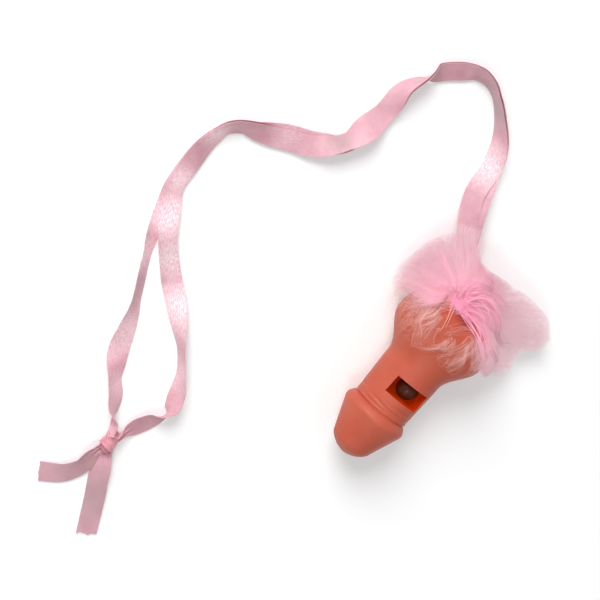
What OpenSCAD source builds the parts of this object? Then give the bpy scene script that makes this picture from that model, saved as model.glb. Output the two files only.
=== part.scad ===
// Novelty party whistle: two moulded half shells with a windway block, a chamber tub and a loose pea
// inside, a feather tuft glued to the rear end and a satin ribbon tied into a hanging loop.
// Millimetres. +X points to the nose, +Z up. The origin lies on the resting surface, straight under
// the lanyard eyelet. Lengths along the body, called u, are counted back from the nose tip. Left and
// right are as seen from the nose end, so +Y is to the right.

/* [Mouthpiece] */
// Length of the blunt nose dome
nose_len = 4.5; // [4:0.5:6]
// Radius where the nose dome runs into the bulb
nose_r = 7.5; // [7:0.1:8]
// Distance from the nose tip to the crest of the collar
collar_at = 16.5; // [15:0.1:17.5]
// Radius of the collar's crest
collar_r = 12.1; // [11.6:0.1:12.6]
// Distance from the nose tip to the neck groove
neck_at = 20.1; // [19:0.1:21]
// Radius at the neck groove
neck_r = 10.3; // [10:0.1:10.8]

/* [Shaft and base] */
// Distance from the nose tip to the rear end of the shaft
shaft_end = 37; // [35:0.5:39]
// Radius at the rear end of the shaft
shaft_r = 10.8; // [10.5:0.1:11.4]
// Length over which the shaft flares into the base
flare_len = 13.5; // [12:0.5:15]
// Length of the widest stretch of the base
base_hold = 2.5; // [1.5:0.5:4]
// Length of the rounded rear end
rear_len = 11.5; // [10.5:0.5:13]
// Half the width across the two rear lobes
base_half_w = 17.8; // [16.8:0.1:18.5]
// Half the height of the base
base_half_h = 12.8; // [12.3:0.1:13.3]
// How boxy the section of the base is, where 2 is an ellipse
base_power = 2.5; // [2.2:0.1:3]
// Depth of the cleft between the lobes at the rear
cleft_depth = 3; // [2:0.5:4]
// Share of the base height that the cleft takes out underneath
cleft_share = 0.2; // [0.1:0.02:0.24]
// Half width of the cleft
cleft_w = 4; // [3:0.5:5]

/* [Inside] */
// Radius of the bore that holds the windway block and the chamber tub
bore_r = 8.7; // [8.5:0.1:9]
// Distance from the nose tip to the front end of the bore
bore_at = 12; // [12:0.5:14]
// Radius of the hollow in each rear lobe
lobe_hollow_r = 7.8; // [6.5:0.1:8]
// Offset of each lobe's hollow from the middle
lobe_hollow_y = 7.4; // [6.5:0.1:7.6]
// Distance from the nose tip to the front edge of the sound window
window_at = 26.2; // [25:0.1:27]
// Length of the sound window along the body
window_len = 6.6; // [5:0.1:7]
// Width of the sound window, and of the chamber under it
window_w = 13.6; // [12:0.1:13.8]
// Length of the chamber
chamber_len = 20.5; // [18:0.5:22]
// Depth of the chamber floor under the axis
floor_drop = 1.4; // [1:0.1:2]
// Height of the tub's rim over the axis
rim_rise = 3.6; // [3:0.1:3.8]
// Wall of the chamber tub
tub_wall = 0.9; // [0.8:0.1:1]
// Diameter of the pea
pea_d = 8; // [7.6:0.1:8.6]
// Gap from the front wall of the chamber to the pea at rest
pea_front_gap = 0.5; // [0.3:0.05:2]
// Distance from the pea to the right wall of the chamber
pea_side_gap = 0.9; // [0.2:0.1:2]
// Width of the windway slot
slot_w = 9; // [7:0.5:9.5]
// Height of the windway slot
slot_h = 1.8; // [1.4:0.1:2]
// Height of the windway's outlet over the axis
slot_out = 5.4; // [5:0.1:5.6]
// Thickness of the webs under the tub
web_t = 1.5; // [1:0.1:2.5]
// Distance of each web from its end of the tub
web_inset = 3; // [2:0.5:6]

/* [Lanyard lug] */
// Thickness of the lug
lug_t = 3; // [2:0.1:4]
// Radius of the lug's round end
lug_r = 3.5; // [3.2:0.1:4.5]
// Width of the lug's neck
lug_neck = 6; // [5:0.1:6.2]
// Height of the lug over the parting plane
lug_rise = 0.5; // [0.3:0.1:1]
// Radius of the eyelet
eyelet_r = 2; // [1.9:0.1:2.3]
// Distance from the rear end of the body to the eyelet
eyelet_reach = 1.5; // [1:0.1:3]

/* [Feather tuft] */
// Distance of the tuft's root ahead of the eyelet
root_x = 2.5; // [2.3:0.1:3.5]
// Distance of the tuft's root to the left of the middle
root_left = 6.5; // [6:0.1:7]
// Radius of the glue bead under the tuft
glue_r = 2.4; // [2:0.1:3.2]
// Radius of the bundle of quills
quill_r = 1.2; // [0.8:0.1:1.5]
// Length of the bundle of quills over the glue
quill_len = 3.2; // [2.5:0.1:4]
// Thickness of the thread wound round the quills
thread_t = 0.4; // [0.3:0.1:0.6]
// Width of the thread winding
thread_w = 1.6; // [1:0.1:2]
// Thickness of a plume at its middle
plume_t = 2.4; // [1.5:0.1:3.5]
// Height of the tips of the plumes on the left
left_tip_h = 9; // [6:0.5:12]
// Height of the tip of the rear plume, which rests on the ribbon
rear_tip_h = 17; // [16:0.5:18]
// Height of the tips of the plumes on the right
right_tip_h = 9; // [6:0.5:11]
// Height of the tip of the longest plume
long_tip_h = 7; // [5:0.5:10]
// Height to which the plumes at the front hang
front_tip_h = 12; // [8:0.5:14]
// Direction of the front plume's free edge, in degrees from the nose to the right
front_edge_deg = 7; // [0:1:20]
// Direction between the front plume and the front right plume
front_right_deg = 62; // [56:1:68]
// Direction between the front right plume and the right plume
right_deg = 91; // [88:1:94]
// Direction between the right plume and the rear right plume
rear_right_deg = 107; // [102:1:112]
// Direction between the rear right plume and the rear plume
rear_deg = 120; // [117:1:122]
// Direction between the rear plume and the rear left plume
rear_left_deg = 221; // [212:1:228]
// Direction between the rear left plume and the left plume
left_deg = 262; // [256:1:270]
// Direction between the left plume and the front left plume
front_left_deg = 299; // [290:1:306]
// Direction of the front left plume's free edge
front_left_edge_deg = 347; // [336:1:352]
// Angle left open between two plumes
plume_gap_deg = 2; // [1:0.5:4]
// Reach of the front plume at its first edge, its middle and its last edge
front_reach = [18, 24, 27.5]; // [10:0.5:50]
// Reach of the front right plume
front_right_reach = [27.5, 37.5, 36]; // [10:0.5:50]
// Reach of the right plume
right_reach = [36, 43.5, 41.5]; // [10:0.5:50]
// Reach of the rear right plume
rear_right_reach = [41.5, 37.5, 32.5]; // [10:0.5:50]
// Reach of the rear plume
rear_reach = [32.5, 14.5, 22]; // [10:0.5:50]
// Reach of the rear left plume
rear_left_reach = [22, 21, 20]; // [10:0.5:50]
// Reach of the left plume
left_reach = [20, 21, 20.5]; // [10:0.5:50]
// Reach of the front left plume
front_left_reach = [19.5, 19.5, 21]; // [10:0.5:50]

/* [Ribbon] */
// Width of the satin ribbon
ribbon_w = 7; // [5:0.5:8]
// Thickness of one layer of ribbon with its slack
ribbon_t = 0.4; // [0.3:0.05:0.5]
// Distance between the middles of the two layers where the legs run together
layer_gap = 1.1; // [1.05:0.05:1.3]
// Width of the ribbon where it is drawn together in the eyelet
drawn_w = 2.8; // [2:0.1:3]
// Thickness of the ribbon where it is drawn together
drawn_t = 0.8; // [0.6:0.1:1]
// Distance from the eyelet's middle to the ends of the bight
bight_run = 5.5; // [5:0.1:6]
// Length of the knot
knot_len = 9.4; // [8:0.1:10]
// Width of the knot across
knot_w = 6; // [5.5:0.1:7]

/* [Fits] */
// Clearance of the block and the tub in the bore
bore_fit = 0.1; // [0.05:0.05:0.2]
// Running clearance of the pea on the floor and the side wall
pea_run = 0.1; // [0.05:0.05:0.2]
// Clearance of the glue and the quills on the shell
glue_fit = 0.1; // [0.05:0.05:0.3]
// Clearance of the plumes over the body
plume_fit = 0.5; // [0.4:0.1:1]
// Clearance of the drawn ribbon round the lug
lug_fit = 0.5; // [0.3:0.1:1]

/* [Hidden] */
$fn = 64;

body_color = [0.87, 0.44, 0.34];
inner_color = [0.78, 0.2, 0.08];
pea_color = [0.36, 0.18, 0.12];
glue_color = [0.93, 0.9, 0.86];
thread_color = [0.9, 0.45, 0.62];
plume_color = [0.95, 0.68, 0.8];
ribbon_color = [0.95, 0.75, 0.79];

// Distances along the body, and the frame's place on it
round_at = shaft_end + flare_len + base_hold;
body_len = round_at + rear_len;
tip_x = body_len + eyelet_reach;
lobe_hollow_at = round_at;
cut = 1;
mouth_cut = 4;
seat = 0.5;

// Chamber and pea
chamber_half_w = window_w / 2;
tub_half_w = chamber_half_w + tub_wall;
tub_len = chamber_len + tub_wall;
tub_bottom = floor_drop + tub_wall;
bore_end = window_at + tub_len + bore_fit;
slot_tilt = atan(slot_out / window_at);
pea_r = pea_d / 2;
pea_at = window_at + pea_front_gap + pea_r;
pea_y = chamber_half_w - pea_r - pea_side_gap;
pea_rise = pea_r + pea_run - floor_drop;

// Outline of the body: half width and half height at u, with a superellipse for its section
section_steps = 18;
nose_power = 0.55;
function smooth(t) = let (c = min(1, max(0, t))) c * c * (3 - 2 * c);
function mix(a, b, t) = a + (b - a) * t;
function dome(u) = pow(1 - pow(1 - min(1, u / nose_len), 2), nose_power);
function bulb(u) = mix(nose_r, collar_r, (u - nose_len) / (collar_at - nose_len)) * dome(u);
function collar_back(u) = mix(collar_r, neck_r, smooth((u - collar_at) / (neck_at - collar_at)));
function shaft(u) = mix(neck_r, shaft_r, smooth((u - neck_at) / (shaft_end - neck_at)));
function flare(u) = smooth((u - shaft_end) / flare_len);
function rounding(u) = u <= round_at ? 1 : sqrt(max(0, 1 - pow((u - round_at) / rear_len, 2)));
function half_size(u, base) =
    u < collar_at ? bulb(u) :
    u < neck_at ? collar_back(u) :
    (shaft(u) + (base - shaft_r) * flare(u)) * rounding(u);
function half_w(u) = half_size(u, base_half_w);
function half_h(u) = half_size(u, base_half_h);
function power(u) = mix(2, base_power, flare(u));
function signed_pow(v, e) = sign(v) * pow(abs(v), e);
function cleft(y) = exp(-pow(y / cleft_w, 2));
function skin_y(u, angle, grow) = (half_w(u) + grow) * signed_pow(cos(angle), 2 / power(u));
function skin_z(u, angle, grow) = (half_h(u) + grow) * signed_pow(sin(angle), 2 / power(u));
function sunk(u, y) = 1 - cleft_share * cleft(y) * flare(u);

// The body lies on the collar's crest and on the two lobes
base_drop = max([for (j = [0:section_steps])
    let (angle = 180 * j / section_steps)
    skin_z(round_at, angle, 0) * sunk(round_at, skin_y(round_at, angle, 0))]);
axis_h = max(collar_r, base_drop);
lug_z = axis_h + lug_rise;

// One point of the skin. up is 1 on the upper half and -1 on the lower half.
function skin(u, angle, up, grow) =
    let (
        y = skin_y(u, angle, grow),
        z = skin_z(u, angle, grow) * (up > 0 ? 1 : sunk(u, y)),
        back = cleft_depth * cleft(y) * smooth((u - round_at) / rear_len)
    )
    [tip_x - u + back, y, axis_h + up * z];

stations = concat(
    [for (i = [1:6]) nose_len * pow(i / 6, 2)],
    [for (i = [1:5]) mix(nose_len, collar_at, i / 5)],
    [for (i = [1:4]) mix(collar_at, neck_at, i / 4)],
    [for (i = [1:4]) mix(neck_at, shaft_end, i / 4)],
    [for (i = [1:7]) mix(shaft_end, shaft_end + flare_len, i / 7)],
    [for (i = [1:2]) mix(shaft_end + flare_len, round_at, i / 2)],
    [for (i = [1:6]) round_at + rear_len * sin(i * 90 / 7)]
);

// Half of the body, solid, cut flat at the axis
module half_body(up, grow = 0) {
    rings = len(stations);
    row = section_steps + 1;
    nose = rings * row;
    rear = nose + 1;
    points = concat(
        [for (u = stations) for (j = [0:section_steps]) skin(u, 180 * j / section_steps, up, grow)],
        [[tip_x + grow, 0, axis_h], [tip_x - body_len + cleft_depth - grow, 0, axis_h]]
    );
    sides = [for (i = [0:rings - 2]) for (j = [0:section_steps - 1])
        let (a = i * row + j, b = a + row) each [[a, a + 1, b], [a + 1, b + 1, b]]];
    flat = [for (i = [0:rings - 2])
        let (a = i * row, b = a + row, c = a + section_steps, d = b + section_steps)
        each [[a, b, c], [c, b, d]]];
    last = (rings - 1) * row;
    front_fan = concat(
        [for (j = [0:section_steps - 1]) [nose, j + 1, j]], [[nose, 0, section_steps]]
    );
    rear_fan = concat(
        [for (j = [0:section_steps - 1]) [rear, last + j, last + j + 1]],
        [[rear, last + section_steps, last]]
    );
    faces = concat(sides, flat, front_fan, rear_fan);
    turned = [for (f = faces) up > 0 ? f : [f[2], f[1], f[0]]];
    polyhedron(points, turned);
}

// A cylinder along the body from u to u plus length
module along(u, length, r) {
    translate([tip_x - u, 0, axis_h]) rotate([0, -90, 0]) cylinder(h = length, r = r);
}

// A box along the body from u to u plus length, with y and z given from the axis
module along_box(u, length, y, z) {
    translate([tip_x - u - length, y[0], axis_h + z[0]]) cube([length, y[1] - y[0], z[1] - z[0]]);
}

module windway_slot() {
    reach = 2 * window_at;
    translate([tip_x, 0, axis_h]) rotate([0, slot_tilt, 0])
        translate([mouth_cut - reach, -slot_w / 2, -slot_h / 2]) cube([reach, slot_w, slot_h]);
}

module nose_slot() {
    intersection() {
        windway_slot();
        along_box(-mouth_cut, mouth_cut + bore_at + seat, [-slot_w, slot_w], [-collar_r, collar_r]);
    }
}

module hollows() {
    along(bore_at, bore_end - bore_at, bore_r);
    for (side = [-1, 1])
        translate([tip_x - lobe_hollow_at, side * lobe_hollow_y, axis_h]) sphere(r = lobe_hollow_r);
}

// Moulded half shells
module upper_shell() {
    color(body_color) difference() {
        union() {
            half_body(1);
            translate([0, 0, lug_z]) cylinder(h = lug_t, r = lug_r);
            translate([0, -lug_neck / 2, lug_z]) cube([eyelet_reach + cleft_depth + cut, lug_neck, lug_t]);
        }
        hollows();
        nose_slot();
        along_box(window_at, window_len, [-chamber_half_w, chamber_half_w], [cut, 2 * collar_r]);
        translate([0, 0, lug_z - cut]) cylinder(h = lug_t + 2 * cut, r = eyelet_r);
    }
}

module lower_shell() {
    color(body_color) union() {
        difference() {
            half_body(-1);
            hollows();
            nose_slot();
        }
        for (u = [window_at + web_inset, bore_end - web_inset - web_t])
            intersection() {
                along(u, web_t, bore_r + seat);
                along_box(u - cut, web_t + 2 * cut, [-tub_half_w, tub_half_w], [-2 * bore_r, -tub_bottom]);
            }
    }
}

// Pieces inside
module windway_block() {
    color(inner_color) difference() {
        along(bore_at + bore_fit, window_at - bore_at - bore_fit, bore_r - bore_fit);
        windway_slot();
    }
}

module chamber_tub() {
    color(inner_color) difference() {
        along_box(window_at, tub_len, [-tub_half_w, tub_half_w], [-tub_bottom, rim_rise]);
        along_box(window_at - cut, chamber_len + cut, [-chamber_half_w, chamber_half_w],
            [-floor_drop, rim_rise + cut]);
    }
}

module pea() {
    color(pea_color) translate([tip_x - pea_at, pea_y, axis_h + pea_rise]) sphere(r = pea_r);
}

// Feather tuft: glue bead on the shell, bound quills, and plumes that drape from them
function body_top(x, y, side = 0) =
    let (u = tip_x - x, w = half_w(u) + side, p = power(u))
    u <= 0 || u >= body_len || abs(y) >= w ? -axis_h : half_h(u) * pow(1 - pow(abs(y) / w, p), 1 / p);

root_y = -root_left;
glue_z = axis_h + body_top(root_x, root_y);
quill_z = glue_z + glue_r;
plume_start = quill_r + thread_t + glue_fit;
plume_root_z = quill_z + quill_len / 2;

module glue_bead() {
    color(glue_color) difference() {
        translate([root_x, root_y, glue_z]) sphere(r = glue_r);
        half_body(1, glue_fit);
        translate([root_x - 2 * glue_r, root_y - 2 * glue_r, axis_h - 4 * glue_r])
            cube([4 * glue_r, 4 * glue_r, 4 * glue_r + glue_fit]);
        translate([root_x, root_y, quill_z - cut]) cylinder(h = 2 * cut, r = quill_r + glue_fit);
        translate([0, 0, lug_z - cut]) cylinder(h = lug_t + cut + glue_fit, r = lug_r + glue_fit);
        translate([0, -lug_neck / 2 - glue_fit, lug_z - cut])
            cube([3 * lug_r, lug_neck + 2 * glue_fit, lug_t + cut + glue_fit]);
    }
}

module quill_bundle() {
    color(plume_color) difference() {
        translate([root_x, root_y, quill_z - cut + glue_fit]) cylinder(h = quill_len + cut, r = quill_r);
        half_body(1, glue_fit);
    }
}

module thread_winding() {
    color(thread_color) translate([root_x, root_y, quill_z + quill_len - thread_w]) difference() {
        cylinder(h = thread_w, r = quill_r + thread_t);
        translate([0, 0, -cut]) cylinder(h = thread_w + 2 * cut, r = quill_r);
    }
}

plume_rays = 7;
plume_rows = 10;
plume_edge = 0.35;
drape_soft = 4;
drape_side = 3;
function soft_max(a, b, k) = max(a, b) + pow(max(k - abs(a - b), 0), 2) / (4 * k);
function reach_at(reach, s) =
    reach[0] * (1 - s) * (1 - 2 * s) + reach[1] * 4 * s * (1 - s) + reach[2] * s * (2 * s - 1);

// Underside of a plume: it rests on the body, and hangs from its root to tip_z past it
function drape(x, y, f, tip_z) =
    let (lying = axis_h + body_top(x, y, drape_side) + plume_fit)
    soft_max(lying, mix(plume_root_z, tip_z, smooth(f)), drape_soft);
function plume_thick(s, f) =
    plume_edge + plume_t * sqrt(max(0, 4 * s * (1 - s))) * (1 - f * f) * smooth(3 * f + 0.3);

module plume(from, to, reach, tip_z) {
    row = plume_rows + 1;
    half_gap = plume_gap_deg / 2;
    grid = [for (i = [0:plume_rays]) for (j = [0:plume_rows])
        let (
            s = i / plume_rays,
            f = j / plume_rows,
            angle = mix(from + half_gap, to - half_gap, s),
            r = mix(plume_start, reach_at(reach, s), f),
            x = root_x + r * cos(angle),
            y = root_y + r * sin(angle)
        )
        [[x, y, drape(x, y, f, tip_z)], plume_thick(s, f)]];
    count = len(grid);
    points = concat([for (g = grid) g[0]], [for (g = grid) g[0] + [0, 0, g[1]]]);
    under = [for (i = [0:plume_rays - 1]) for (j = [0:plume_rows - 1])
        let (a = i * row + j, b = a + row) each [[a, a + 1, b], [a + 1, b + 1, b]]];
    over = [for (f = under) [f[2] + count, f[1] + count, f[0] + count]];
    rim = concat(
        [for (j = [0:plume_rows - 1]) j],
        [for (i = [0:plume_rays - 1]) i * row + plume_rows],
        [for (j = [0:plume_rows - 1]) plume_rays * row + plume_rows - j],
        [for (i = [0:plume_rays - 1]) (plume_rays - i) * row]
    );
    sides = [for (k = [0:len(rim) - 1])
        let (a = rim[k], b = rim[(k + 1) % len(rim)]) each [[b, a, a + count], [b, a + count, b + count]]];
    color(plume_color) polyhedron(points, concat(under, over, sides));
}

module plume_front() { plume(front_edge_deg, front_right_deg, front_reach, front_tip_h); }
module plume_front_right() { plume(front_right_deg, right_deg, front_right_reach, right_tip_h); }
module plume_right() { plume(right_deg, rear_right_deg, right_reach, long_tip_h); }
module plume_rear_right() { plume(rear_right_deg, rear_deg, rear_right_reach, right_tip_h); }
module plume_rear() { plume(rear_deg, rear_left_deg, rear_reach, rear_tip_h); }
module plume_rear_left() { plume(rear_left_deg, left_deg, rear_left_reach, left_tip_h); }
module plume_left() { plume(left_deg, front_left_deg, left_reach, left_tip_h); }
module plume_front_left() { plume(front_left_deg, front_left_edge_deg, front_left_reach, front_tip_h); }

// Ribbon. Each route point is x, y, height of the lowest edge, roll in degrees and, where the two
// legs run together, how far one layer has slipped sideways over the other.
over_lug = lug_z + lug_t + lug_fit + (drawn_t - ribbon_t) / 2;
under_lug = lug_z - lug_fit - (drawn_t + ribbon_t) / 2;
lead_run = 2.5;
lead_a = [
    [-bight_run, 0, over_lug, 0, 0], [-bight_run - lead_run, 0, over_lug, 0, 0], [-9.5, -4.5, 14, 0, 0],
    [-10.5, -10.5, 10.5, 0, 0]
];
lead_b = [
    [-bight_run, 0, under_lug, 0, 0], [-bight_run - lead_run, 0, under_lug, 0, 0], [-9.5, -4.5, 10.5, 0, 0],
    [-10.5, -10.5, 8.5, 0, 0]
];
together = [
    [-16, -13.5, 7, 0, 1.5], [-28.5, -19, 2, -20, 2.5], [-40, -21.5, 0.4, -30, 0],
    [-46.5, -25, 0.4, -60, 0], [-52.5, -30.5, 0.4, -80, 0], [-57.5, -37, 0.4, -85, 0],
    [-59.5, -42, 0.4, -70, 0], [-59.5, -46.5, 0.4, -50, 0], [-56, -52.5, 0.4, -25, 0],
    [-52, -57, 0.4, -25, 0], [-47, -60.5, 0.4, -80, 0], [-41, -63.5, 0.4, -110, 0],
    [-30, -63, 0.4, -170, 0], [-22, -65, 0.4, -145, 2], [-14.5, -67.5, 0.4, -125, 0],
    [-9, -73, 0.4, -160, 1], [-3, -85.5, 0.4, -190, 1.5], [0, -92, 0.4, -205, 0.5],
    [2, -97.5, 0.4, -225, 0], [5.5, -101.5, 0.4, -225, 0], [10.5, -103, 0.4, -215, 0],
    [23.5, -103, 0.4, -195, 0], [30.5, -102.5, 0.4, -195, 0]
];
apart_a = [
    [39, -100, 0.4, -195, 0], [47.5, -98, 0.4, -220, 0], [54.5, -95, 0.4, -235, 0],
    [66, -89, 0.4, -235, 0], [76, -84.5, 0.4, -205, 0], [85, -81, 0.4, -180, 0],
    [93.5, -76, 0.4, -225, 0], [98, -72, 0.4, -220, 0], [101.5, -70, 0.4, -235, 0],
    [105, -67, 0.8, -285, 0], [109, -65.5, 2.4, -290, 0]
];
apart_b = [
    [39, -98, 2.8, -185, 0], [45.5, -93.5, 2.8, -200, 0], [53, -85.5, 0.6, -190, 0],
    [60.5, -77, 0.4, -160, 0], [67.5, -70, 0.4, -120, 0], [73, -64.5, 0.4, -100, 0],
    [79, -59.5, 0.4, -105, 0], [86.5, -55.5, 0.4, -130, 0], [90, -54.5, 0.4, -115, 0],
    [93.5, -55, 0.4, -60, 0], [98, -57, 0.4, -25, 0], [105, -61, 1, -20, 0], [109, -63, 2.4, -45, 0]
];
knot_at = [111, -64, 3.4];
knot_turn = 8;
tail_left_route = [
    [113, -65.5, 2.6, -20, 0], [118, -66, 2, -25, 0], [123, -65.5, 1.2, -20, 0],
    [128.5, -68, 0.6, -10, 0], [133.5, -75.5, 0.4, 0, 0]
];
tail_right_route = [
    [113, -62.5, 1.6, 30, 0], [117.5, -61, 1, 30, 0], [123, -58.5, 0.4, 20, 0],
    [130, -54.5, 0.4, 10, 0], [142.5, -48, 0.4, 0, 0]
];

function unit(v) = v / norm(v);
function edge_lift(p, gap) =
    (ribbon_w + abs(p[4])) / 2 * abs(sin(p[3])) + (gap + ribbon_t) / 2 * abs(cos(p[3]));
function raised(route, gap) = [for (p = route) [p[0], p[1], p[2] + edge_lift(p, gap), p[3]]];
function heading(line, i) =
    let (a = line[max(0, i - 1)], b = line[min(len(line) - 1, i + 1)])
    unit([b[0] - a[0], b[1] - a[1], b[2] - a[2]]);
function level_side(t) = unit(cross([0, 0, 1], t));
function rolled_side(t, roll) = level_side(t) * cos(roll) + cross(t, level_side(t)) * sin(roll);

// The centre line of one leg in the stretch where both run together
function layer(route, side) =
    let (line = raised(route, layer_gap))
    [for (i = [0:len(line) - 1])
        let (
            t = heading(line, i),
            s = rolled_side(t, line[i][3]),
            n = cross(t, s),
            c = [line[i][0], line[i][1], line[i][2]] + side * (n * layer_gap / 2 + s * route[i][4] / 2)
        )
        [c[0], c[1], c[2], line[i][3]]];

// A flat band swept along a centre line, drawn together at its first point and, if asked, at its last
module band(line, last_w = ribbon_w, first_rings = 2) {
    count = len(line);
    points = [for (i = [0:count - 1])
        let (
            t = heading(line, i),
            s = rolled_side(t, line[i][3]),
            n = cross(t, s),
            c = [line[i][0], line[i][1], line[i][2]],
            first = mix(drawn_w, ribbon_w, smooth(i / first_rings)),
            last = mix(last_w, ribbon_w, smooth((count - 1 - i) / 2)),
            w = min(first, last) / 2,
            h = ribbon_t / 2
        )
        each [c + s * w + n * h, c - s * w + n * h, c - s * w - n * h, c + s * w - n * h]];
    sides = [for (i = [0:count - 2]) for (k = [0:3])
        let (a = 4 * i + k, b = 4 * i + (k + 1) % 4)
        each k < 2 ? [[b, a, a + 4], [b, a + 4, b + 4]] : [[b, a, b + 4], [a, a + 4, b + 4]]];
    last = 4 * (count - 1);
    ends = [[0, 1, 2], [0, 2, 3], [last + 2, last + 1, last], [last + 3, last + 2, last]];
    color(ribbon_color) polyhedron(points, concat(sides, ends));
}

module ribbon_leg_a() {
    band(concat(raised(lead_a, 0), layer(together, 1), raised(apart_a, 0)), drawn_w, len(lead_a));
}

module ribbon_leg_b() {
    band(concat(raised(lead_b, 0), layer(together, -1), raised(apart_b, 0)), drawn_w, len(lead_b));
}

module ribbon_tail_left() { band(raised(tail_left_route, 0)); }
module ribbon_tail_right() { band(raised(tail_right_route, 0)); }

// The turn of ribbon that goes down through the eyelet and round the lug's end
module ribbon_bight() {
    inner_h = lug_t + 2 * lug_fit;
    outer_h = inner_h + 2 * drawn_t;
    color(ribbon_color) translate([0, drawn_w / 2, lug_z + lug_t / 2]) rotate([90, 0, 0])
        linear_extrude(height = drawn_w) difference() {
            translate([-bight_run, -outer_h / 2]) square([bight_run, outer_h]);
            translate([-bight_run - cut, -inner_h / 2]) square([bight_run + cut - drawn_t, inner_h]);
        }
}

module ribbon_knot() {
    steps = 16;
    outline = [for (i = [0:steps]) let (a = 180 * i / steps) [knot_w / 2 * sin(a), -knot_len / 2 * cos(a)]];
    color(ribbon_color) translate(knot_at) rotate([0, 90, knot_turn]) rotate_extrude() polygon(outline);
}

upper_shell();
lower_shell();
windway_block();
chamber_tub();
pea();
glue_bead();
quill_bundle();
thread_winding();
plume_left();
plume_rear_left();
plume_rear();
plume_rear_right();
plume_right();
plume_front_right();
plume_front();
plume_front_left();
ribbon_bight();
ribbon_leg_a();
ribbon_leg_b();
ribbon_knot();
ribbon_tail_left();
ribbon_tail_right();
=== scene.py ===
"""Looks of the novelty whistle: moulded body, feather tuft and satin ribbon, in metres."""
import functools
import itertools
import math

import bmesh
import bpy
import numpy as np
from mathutils import Matrix, Vector


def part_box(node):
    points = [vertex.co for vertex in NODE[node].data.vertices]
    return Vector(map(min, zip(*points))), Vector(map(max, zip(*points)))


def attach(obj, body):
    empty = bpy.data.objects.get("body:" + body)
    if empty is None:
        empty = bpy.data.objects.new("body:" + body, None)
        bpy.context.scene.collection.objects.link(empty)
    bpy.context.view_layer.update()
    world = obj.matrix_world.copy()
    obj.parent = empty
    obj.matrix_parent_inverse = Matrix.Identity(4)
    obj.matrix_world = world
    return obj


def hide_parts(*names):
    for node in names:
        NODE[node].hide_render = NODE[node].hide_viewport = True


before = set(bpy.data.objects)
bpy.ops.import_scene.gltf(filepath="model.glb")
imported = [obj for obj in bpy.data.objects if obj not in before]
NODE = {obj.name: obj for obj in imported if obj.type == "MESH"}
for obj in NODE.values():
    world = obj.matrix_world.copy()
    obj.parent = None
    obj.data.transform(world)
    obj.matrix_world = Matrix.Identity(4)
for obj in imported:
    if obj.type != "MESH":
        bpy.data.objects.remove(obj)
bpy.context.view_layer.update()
MM = 0.001
rng = np.random.default_rng(11)

# Camera: the photograph's viewing angle
VIEW_FROM = Vector((-0.10, -0.40, 0.911043))
VIEW_RIGHT = Vector((-0.63986327, 0.72703871, 0.24897734))
VIEW_UP = Vector((-0.76195472, -0.55804545, -0.32864918))
LOOK_AT = Vector((35.43, -42.65, 0.0)) * MM
VIEW_DISTANCE = 0.6
LENS = 108
SENSOR = 36
CLIP = (0.01, 20)


def link(name, data):
    obj = bpy.data.objects.new(name, data)
    bpy.context.scene.collection.objects.link(obj)
    return obj


def add_camera():
    data = bpy.data.cameras.new("camera")
    data.lens = LENS
    data.sensor_width = SENSOR
    data.clip_start, data.clip_end = CLIP
    camera = link("camera", data)
    camera.matrix_world = Matrix((VIEW_RIGHT, VIEW_UP, VIEW_FROM)).transposed().to_4x4()
    camera.matrix_world.translation = LOOK_AT + VIEW_DISTANCE * VIEW_FROM
    bpy.context.scene.camera = camera


# Mesh helpers
def add_mesh(name, points, polygons, sharp_deg=None):
    """A smooth shaded mesh object from points in mm."""
    mesh = bpy.data.meshes.new(name)
    mesh.from_pydata([tuple(p) for p in np.asarray(points, float) * MM], [], polygons)
    return link_mesh(name, mesh, sharp_deg)


def link_mesh(name, mesh, sharp_deg=None):
    shade_smooth(mesh, sharp_deg)
    mesh.update()
    return link(name, mesh)


def shade_smooth(mesh, sharp_deg):
    mesh.polygons.foreach_set("use_smooth", np.ones(len(mesh.polygons), bool))
    if sharp_deg is not None:
        mesh.set_sharp_from_angle(angle=math.radians(sharp_deg))


def unit_rows(v):
    return v / np.linalg.norm(v, axis=-1, keepdims=True)


def smooth(t):
    c = np.clip(t, 0, 1)
    return c * c * (3 - 2 * c)


def mix(a, b, t):
    return a + (b - a) * t


def arc_length(points):
    """Distance along a line at each of its points."""
    return np.concatenate([[0], np.cumsum(np.linalg.norm(np.diff(points, axis=0), axis=1))])


def tube_faces(rows, ring):
    """Quads of a tube of rows rings, each of ring points and joined to the next."""
    i, k = np.meshgrid(np.arange(rows - 1), np.arange(ring), indexing="ij")
    a, b = i * ring + k, i * ring + (k + 1) % ring
    return np.stack([a, b, b + ring, a + ring], -1).reshape(-1, 4)


def inside_out(quads):
    return quads[:, [0, 3, 2, 1]]


def prism_faces(n):
    return tube_faces(2, n).tolist() + [list(range(n))[::-1], list(range(n, 2 * n))]


def hand_over(obj, node=None):
    """Puts a piece on the whistle, in place of a CAD node where one is named."""
    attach(obj, "whistle")
    if node:
        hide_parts(node)
    return obj


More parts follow.
